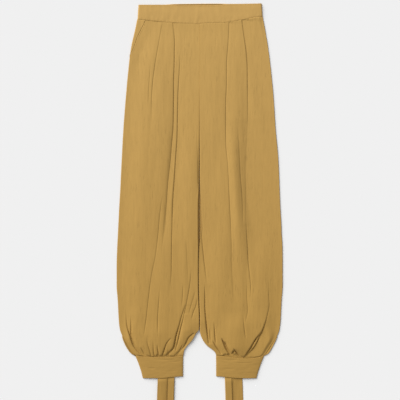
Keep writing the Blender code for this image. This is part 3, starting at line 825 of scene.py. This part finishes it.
# The pocket: its facing is a crepe piece that lies behind the slant opening on the wearer's
# right, sewn in with the waistband and the side seam.
POCKET_END = 150.0
POCKET_UNDER = 13.0       # the facing runs this far under the front
POCKET_WALL = 0.8
FACING_LOW = 2.0          # its outer face under the front
FACING_STEP = 1.4         # and how much it comes up beyond the opening

rows = []
for r in range(41):
    down = r / 40
    row = []
    for c in range(31):
        share = c / 30
        station = 50.0 + (POCKET_END - 50.0) * down
        for _ in range(2):
            opening = pocket_edge(station)
            outer = outer_edge[RIGHT](station)
            if c < 11:
                across = opening - POCKET_UNDER * (1.0 - c / 10)
            elif c < 16:
                across = opening + 0.2 * (c - 10)
            else:
                across = opening + 1.0 + (outer - opening - 1.0) * (c - 15) / 15
            top = band_seam(-across) + 0.2
            station = top + (POCKET_END - top) * down
        beyond = across - pocket_edge(station)
        height = FACING_LOW + FACING_STEP * smooth_step((beyond - 0.1) / 0.6) - 0.02 * max(0.0, beyond)
        height += 0.15 * noise.noise(Vector((across / 9.0, station / 30.0, 2.0)))
        height = RIM_FOOT + (height - RIM_FOOT) * rounded(outer - across, 2.0)
        row.append((-across, station, height))
    rows.append(row)
facing = cloth_sheet("pocket_facing", rows, POCKET_WALL, panel_cloth)
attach(facing, "root")
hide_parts("pocket_right")


# The waistband: a straight band folded double, its front half lying over its back half. The back
# half's inner side shows as a thin strip over the front's top edge.
BAND_LEFT_END = 172.4
BAND_RIGHT_END = -172.6
BAND_TONE = (0.503, 0.306, 0.092)
BAND_BODY = 3.9           # outer face of the front half
BAND_CROWN = 0.4          # and how much fuller it is along its middle
BAND_LEAN = 2.5           # each end runs outwards by this much towards the hips
BAND_END_REACH = 40.0
BAND_WALL = 0.6
BACK_BAND_BODY = 1.9
BACK_BAND_RIM = 1.3
BACK_BAND_WALL = 1.5
BAND_TOP_EDGE = [
    # x, station of the front band's top edge
    (-172, 3.2), (-110, 3.0), (-80, 3.4), (-58, 5.0), (32, 5.2), (58, 3.4), (76, 1.0), (130, 0.4),
    (174, -0.6),
]
BACK_BAND_EDGE = [
    # x, station of the back band's top edge
    (-171, 3.6), (-110, 3.2), (-70, 0.9), (-20, 0.2), (40, -0.3), (66, 0.0), (90, 1.6), (172, 2.2),
]
# The band takes the same painted light falloff, from its own waist tone towards the ankle tone.
band_cloth = crepe("band_crepe", (120, 30, 60), (900, 620, 900), 0.2, BAND_TONE, ANKLE_TONE, 0.4)

band_top = traced(BAND_TOP_EDGE)
rows = []
edge_steps = [0.0, 0.06, 0.18, 0.34, 0.55, 1.0]
down_shares = [step / 20.0 for step in edge_steps] + [0.1 + 0.8 * k / 20 for k in range(21)]
down_shares += [1.0 - step / 20.0 for step in reversed(edge_steps)]
span = BAND_LEFT_END - BAND_RIGHT_END
for down in down_shares:
    row = []
    for c in range(181):
        reach = c * span / 180.0
        x = BAND_RIGHT_END + reach
        lean = BAND_LEAN * down
        at_right = 1.0 - smooth_step(reach / BAND_END_REACH)
        at_left = smooth_step((reach - span + BAND_END_REACH) / BAND_END_REACH)
        x += -lean * at_right + lean * at_left
        top = band_top(x)
        station = top + (band_seam(x) - 0.2 - top) * down
        from_side = min(reach, span - reach)
        from_edge = min(station - top, band_seam(x) - 0.2 - station)
        body = BAND_BODY + BAND_CROWN * math.sin(math.pi * down) * smooth_step(from_side / 20.0)
        body += 0.30 * noise.noise(Vector((x / 13.0, station / 40.0, 21.0)))
        body += 0.22 * noise.noise(Vector((x / 40.0, station / 18.0, 25.0)))
        pull = smooth_step((down - 0.45) / 0.5)
        body += 0.35 * pull * noise.noise(Vector((x / 7.0, station / 16.0, 31.0)))
        height = body - 0.3 * (1.0 - rounded(from_edge, 1.0))
        height = 0.4 + (height - 0.4) * rounded(from_side, 3.0)
        row.append((x, station, height))
    rows.append(row)
front_band = cloth_sheet("band_front", rows, BAND_WALL, band_cloth)
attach(front_band, "root")
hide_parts("waistband_front")

over_seam = line_along(BAND_RIGHT_END + 2.0, BAND_LEFT_END - 2.0, 80, lambda x: (x, band_seam(x) - 2.6))
under_edge = line_along(BAND_RIGHT_END + 4.0, BAND_LEFT_END - 4.0, 80, lambda x: (x, band_top(x) + 3.0))
stitches("band_stitches", front_band, [over_seam, under_edge])

back_band_top = traced(BACK_BAND_EDGE)
rows = []
for r in range(41):
    down = (r / 40) ** 2
    row = []
    for c in range(121):
        x = BAND_RIGHT_END + 1.6 + (span - 3.2) * c / 120
        top = back_band_top(x)
        station = top + (44.0 - top) * down
        rim = math.exp(-((station - top - 1.4) / 1.3) ** 2)
        height = BACK_BAND_BODY + BACK_BAND_RIM * rim - 0.6 * (1.0 - rounded(station - top, 1.0))
        row.append((x, station, height))
    rows.append(row)
back_band = cloth_sheet("band_back", rows, BACK_BAND_WALL, band_cloth)
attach(back_band, "root")
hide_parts("waistband_back")


# The cuffs: a straight band folded double round each ankle, eased on to the gathered leg, and open
# at the back, where its ends carry the ties.
CUFF_BOTTOM = 1047.0
CUFF_WALL = 1.0
CUFF_TONE = (0.374, 0.217, 0.052)
CUFF_FLOOR = 0.15         # its under side lies this high
CUFF_CREASE_WIDTH = 1.6
CUFF_SIDE = 0.45          # the band's two folds are this share of its height
CUFF_SLANT = 5.0          # the hem is higher at the inner side
SLIT = (69.0, 119.0)
CUFF_TRIM = {RIGHT: (0.9, 1.6), LEFT: (-1.8, -1.6)}   # of the outer and the inner edge
CUFF_SECTIONS = [
    # station, outer, inner, height
    (984, 180.4, 46.0, 5.2),
    (997, 174.8, 46.2, 5.2),
    (1011, 169.4, 46.4, 5.0),
    (1028, 164.0, 46.4, 4.8),
    (1047, 159.4, 46.4, 4.6),
]
CUFF_CREASES = {
    # start across, end across, station, depth
    RIGHT: [(122, 147, 1017.5, 0.7), (64, 120, 994, 0.7), (52, 92, 999, 0.8), (60, 110, 1026, 0.3)],
    LEFT: [(60, 112, 995, 0.6), (90, 150, 1003, 0.6), (66, 100, 1019, 0.4), (110, 150, 1031, 0.3)],
}
# The cuffs lie at the ankle end of the painted light falloff, so they take mostly the cuff tone.
cuff_cloth = crepe("cuff_crepe", (26, 150, 60), (700, 900, 900), 0.3, WAIST_TONE, CUFF_TONE, 0.4)
cuff_outer = traced_column(CUFF_SECTIONS, 1)
cuff_inner = traced_column(CUFF_SECTIONS, 2)
cuff_height = traced_column(CUFF_SECTIONS, 3)


def cuff_relief(side, across, station):
    """Unevenness of a cuff's outer face, with its few flat creases."""
    relief = 0.35 * noise.noise(Vector((across / 40.0, station / 15.0, 40.0 + side)))
    relief += 0.15 * noise.noise(Vector((across / 14.0, station / 6.0, 45.0 + side)))
    for start, end, line, depth in CUFF_CREASES[side]:
        share = (across - start) / (end - start)
        if 0.0 < share < 1.0:
            bow = line + 1.5 * math.sin(math.pi * share)
            groove = math.exp(-((station - bow) / CUFF_CREASE_WIDTH) ** 2)
            relief -= depth * math.sin(math.pi * share) * groove
    return relief


def cuff_hem(across):
    """Station of the cuff's lower edge, before its sides are trimmed."""
    part = (across - cuff_inner(CUFF_BOTTOM)) / (cuff_outer(CUFF_BOTTOM) - cuff_inner(CUFF_BOTTOM))
    return CUFF_BOTTOM - CUFF_SLANT * (1.0 - smooth_step(1.6 * part))


def cuff_row(side, share):
    """One line round the flattened cuff: from the slit under the inner fold, over, and back."""
    level = CUFF_TOP + (CUFF_BOTTOM - CUFF_TOP) * share
    outer, inner, height = cuff_outer(level), cuff_inner(level), cuff_height(level)
    outer += CUFF_TRIM[side][0]
    inner += CUFF_TRIM[side][1]
    side_height = CUFF_SIDE * height
    radius = 0.5 * side_height
    outline = []
    for k in range(9):
        outline.append((SLIT[0] + (inner + radius - SLIT[0]) * k / 9, CUFF_FLOOR))
    fold = []
    for k in range(9):
        turn = math.pi * k / 8
        fold.append((radius * (1.0 - math.sin(turn)), radius - (radius - CUFF_FLOOR) * math.cos(turn)))
    outline += [(inner + depth, rise) for depth, rise in fold]
    for k in range(1, 90):
        part = k / 90
        crown = (height - side_height) * math.sqrt(math.sin(math.pi * part))
        outline.append((inner + radius + (outer - inner - side_height) * part, side_height + crown))
    outline += [(outer - depth, rise) for depth, rise in reversed(fold)]
    for k in range(1, 13):
        outline.append((outer - radius + (SLIT[1] - outer + radius) * k / 12, CUFF_FLOOR))

    row = []
    for across, rise in outline:
        part = min(1.0, max(0.0, (across - inner) / (outer - inner)))
        top = cuff_seam(side, across) + 0.3
        bottom = CUFF_BOTTOM - CUFF_SLANT * (1.0 - smooth_step(1.6 * part))
        station = top + (bottom - top) * share
        if rise > side_height:
            edge = min(station - top, bottom - station)
            rise += cuff_relief(side, across, station) * smooth_step(edge / 5.0)
            rise -= 0.5 * (1.0 - rounded(edge, 1.2))
        row.append((side * across, station, rise))
    return row


for name, side in (("cuff_right", RIGHT), ("cuff_left", LEFT)):
    shares = [0.0, 0.006, 0.015, 0.03] + [0.05 + 0.9 * k / 36 for k in range(37)] + [0.97, 0.985, 0.994, 1.0]
    cuff = cloth_sheet("band_" + name, [cuff_row(side, share) for share in shares], CUFF_WALL, cuff_cloth)
    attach(cuff, "root")
    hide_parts(name)
    upper = line_along(52.0, 174.0, 40, lambda across: (side * across, cuff_seam(side, across) + 3.2))
    lower = line_along(54.0, 154.0, 40, lambda across: (side * across, cuff_hem(across) - 3.2))
    stitches(name + "_stitches", cuff, [upper, lower])


# The ties: two crepe tails to each cuff, folded double and sewn to the ends of its band. The inner
# tail has one edge turned under and lies over the outer one's edge.
TIE_START = 999.0
TIE_END = 1260.0
TIE_DRIFT = [
    # station, how far both tails lean towards the side
    (1040, 0.0),
    (1110, 2.2),
    (1180, 3.0),
    (1260, 1.0),
]
INNER_TIE = {RIGHT: (71.0, 88.6), LEFT: (68.8, 87.8)}
OUTER_TIE = (85.4, 118.2)
TIE_LAP = {RIGHT: 3.2, LEFT: 2.4}   # how much of the outer tail the inner one covers
TIE_UNDER_CUFF = 2.2      # the tails are pressed this flat by the cuff
TIE_RISE = 1044.0         # station from which they rise again
TIE_WALL = 0.7
TIE_ROWS = 90
# The ties lie below the ankle end of the painted light falloff and take mostly its cuff tone.
tie_cloth = crepe("tie_crepe", (170, 20, 60), (900, 620, 900), 0.4, WAIST_TONE, CUFF_TONE, 0.5)
tie_drift = traced(TIE_DRIFT)


def tie_height(side, inner_tail, from_start, width):
    """Outer face of a tail. The outer tail dips where the inner one's folded edge lies on it."""
    if inner_tail:
        return 0.9 + (2.7 if side == RIGHT else 3.4) * rounded(from_start, 2.2)
    beyond = max(0.0, from_start - TIE_LAP[side])
    if side == RIGHT:
        return 0.9 + 3.0 * (1.0 - math.exp(-beyond / 5.0)) + 1.4 * math.sin(0.5 * math.pi * beyond / width)
    return 0.9 + 1.1 * math.exp(-beyond / 9.0)


def tie_tail(name, side, inner_tail):
    """One tie tail, a long flat strip with rounded folds along both edges."""
    start, end = INNER_TIE[side] if inner_tail else OUTER_TIE
    width = end - start
    seed = 60.0 + 7.0 * side + (1.0 if inner_tail else 0.0)
    edge_steps = [0.0, 0.25, 0.6, 1.1, 1.8]
    steps = edge_steps + [2.4 + (width - 4.8) * k / 22 for k in range(23)]
    steps += [width - step for step in reversed(edge_steps)]
    rows = []
    for r in range(TIE_ROWS + 1):
        station = TIE_START + (TIE_END - TIE_START) * r / TIE_ROWS
        row = []
        for step in steps:
            across = start + step + tie_drift(station)
            body = tie_height(side, inner_tail, step, width)
            body += 0.20 * noise.noise(Vector((step / 9.0, station / 34.0, seed)))
            body += 0.10 * noise.noise(Vector((step / 3.5, station / 22.0, seed + 3.0)))
            height = body - 0.6 * (1.0 - rounded(min(step, width - step), 1.0))
            pressed = min(height, TIE_UNDER_CUFF)
            height = pressed + (height - pressed) * smooth_step((station - TIE_RISE) / 12.0)
            row.append((side * across, station, height))
        rows.append(row)
    return cloth_sheet(name, rows, TIE_WALL, tie_cloth)


for side, word in ((RIGHT, "right"), (LEFT, "left")):
    for inner_tail, part in ((False, "outer"), (True, "inner")):
        node = "tie_" + word + "_" + part
        tail = tie_tail("tail_" + word + "_" + part, side, inner_tail)
        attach(tail, "root")
        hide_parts(node)
        start, end = INNER_TIE[side] if inner_tail else OUTER_TIE
        first = start + 2.0 if inner_tail else start + TIE_LAP[side] + 4.5
        rows = []
        for edge in (first, end - 2.0):
            rows.append(line_along(1050.0, TIE_END - 2.0, 40, lambda at: (side * (edge + tie_drift(at)), at)))
        stitches(node + "_stitches", tail, rows)
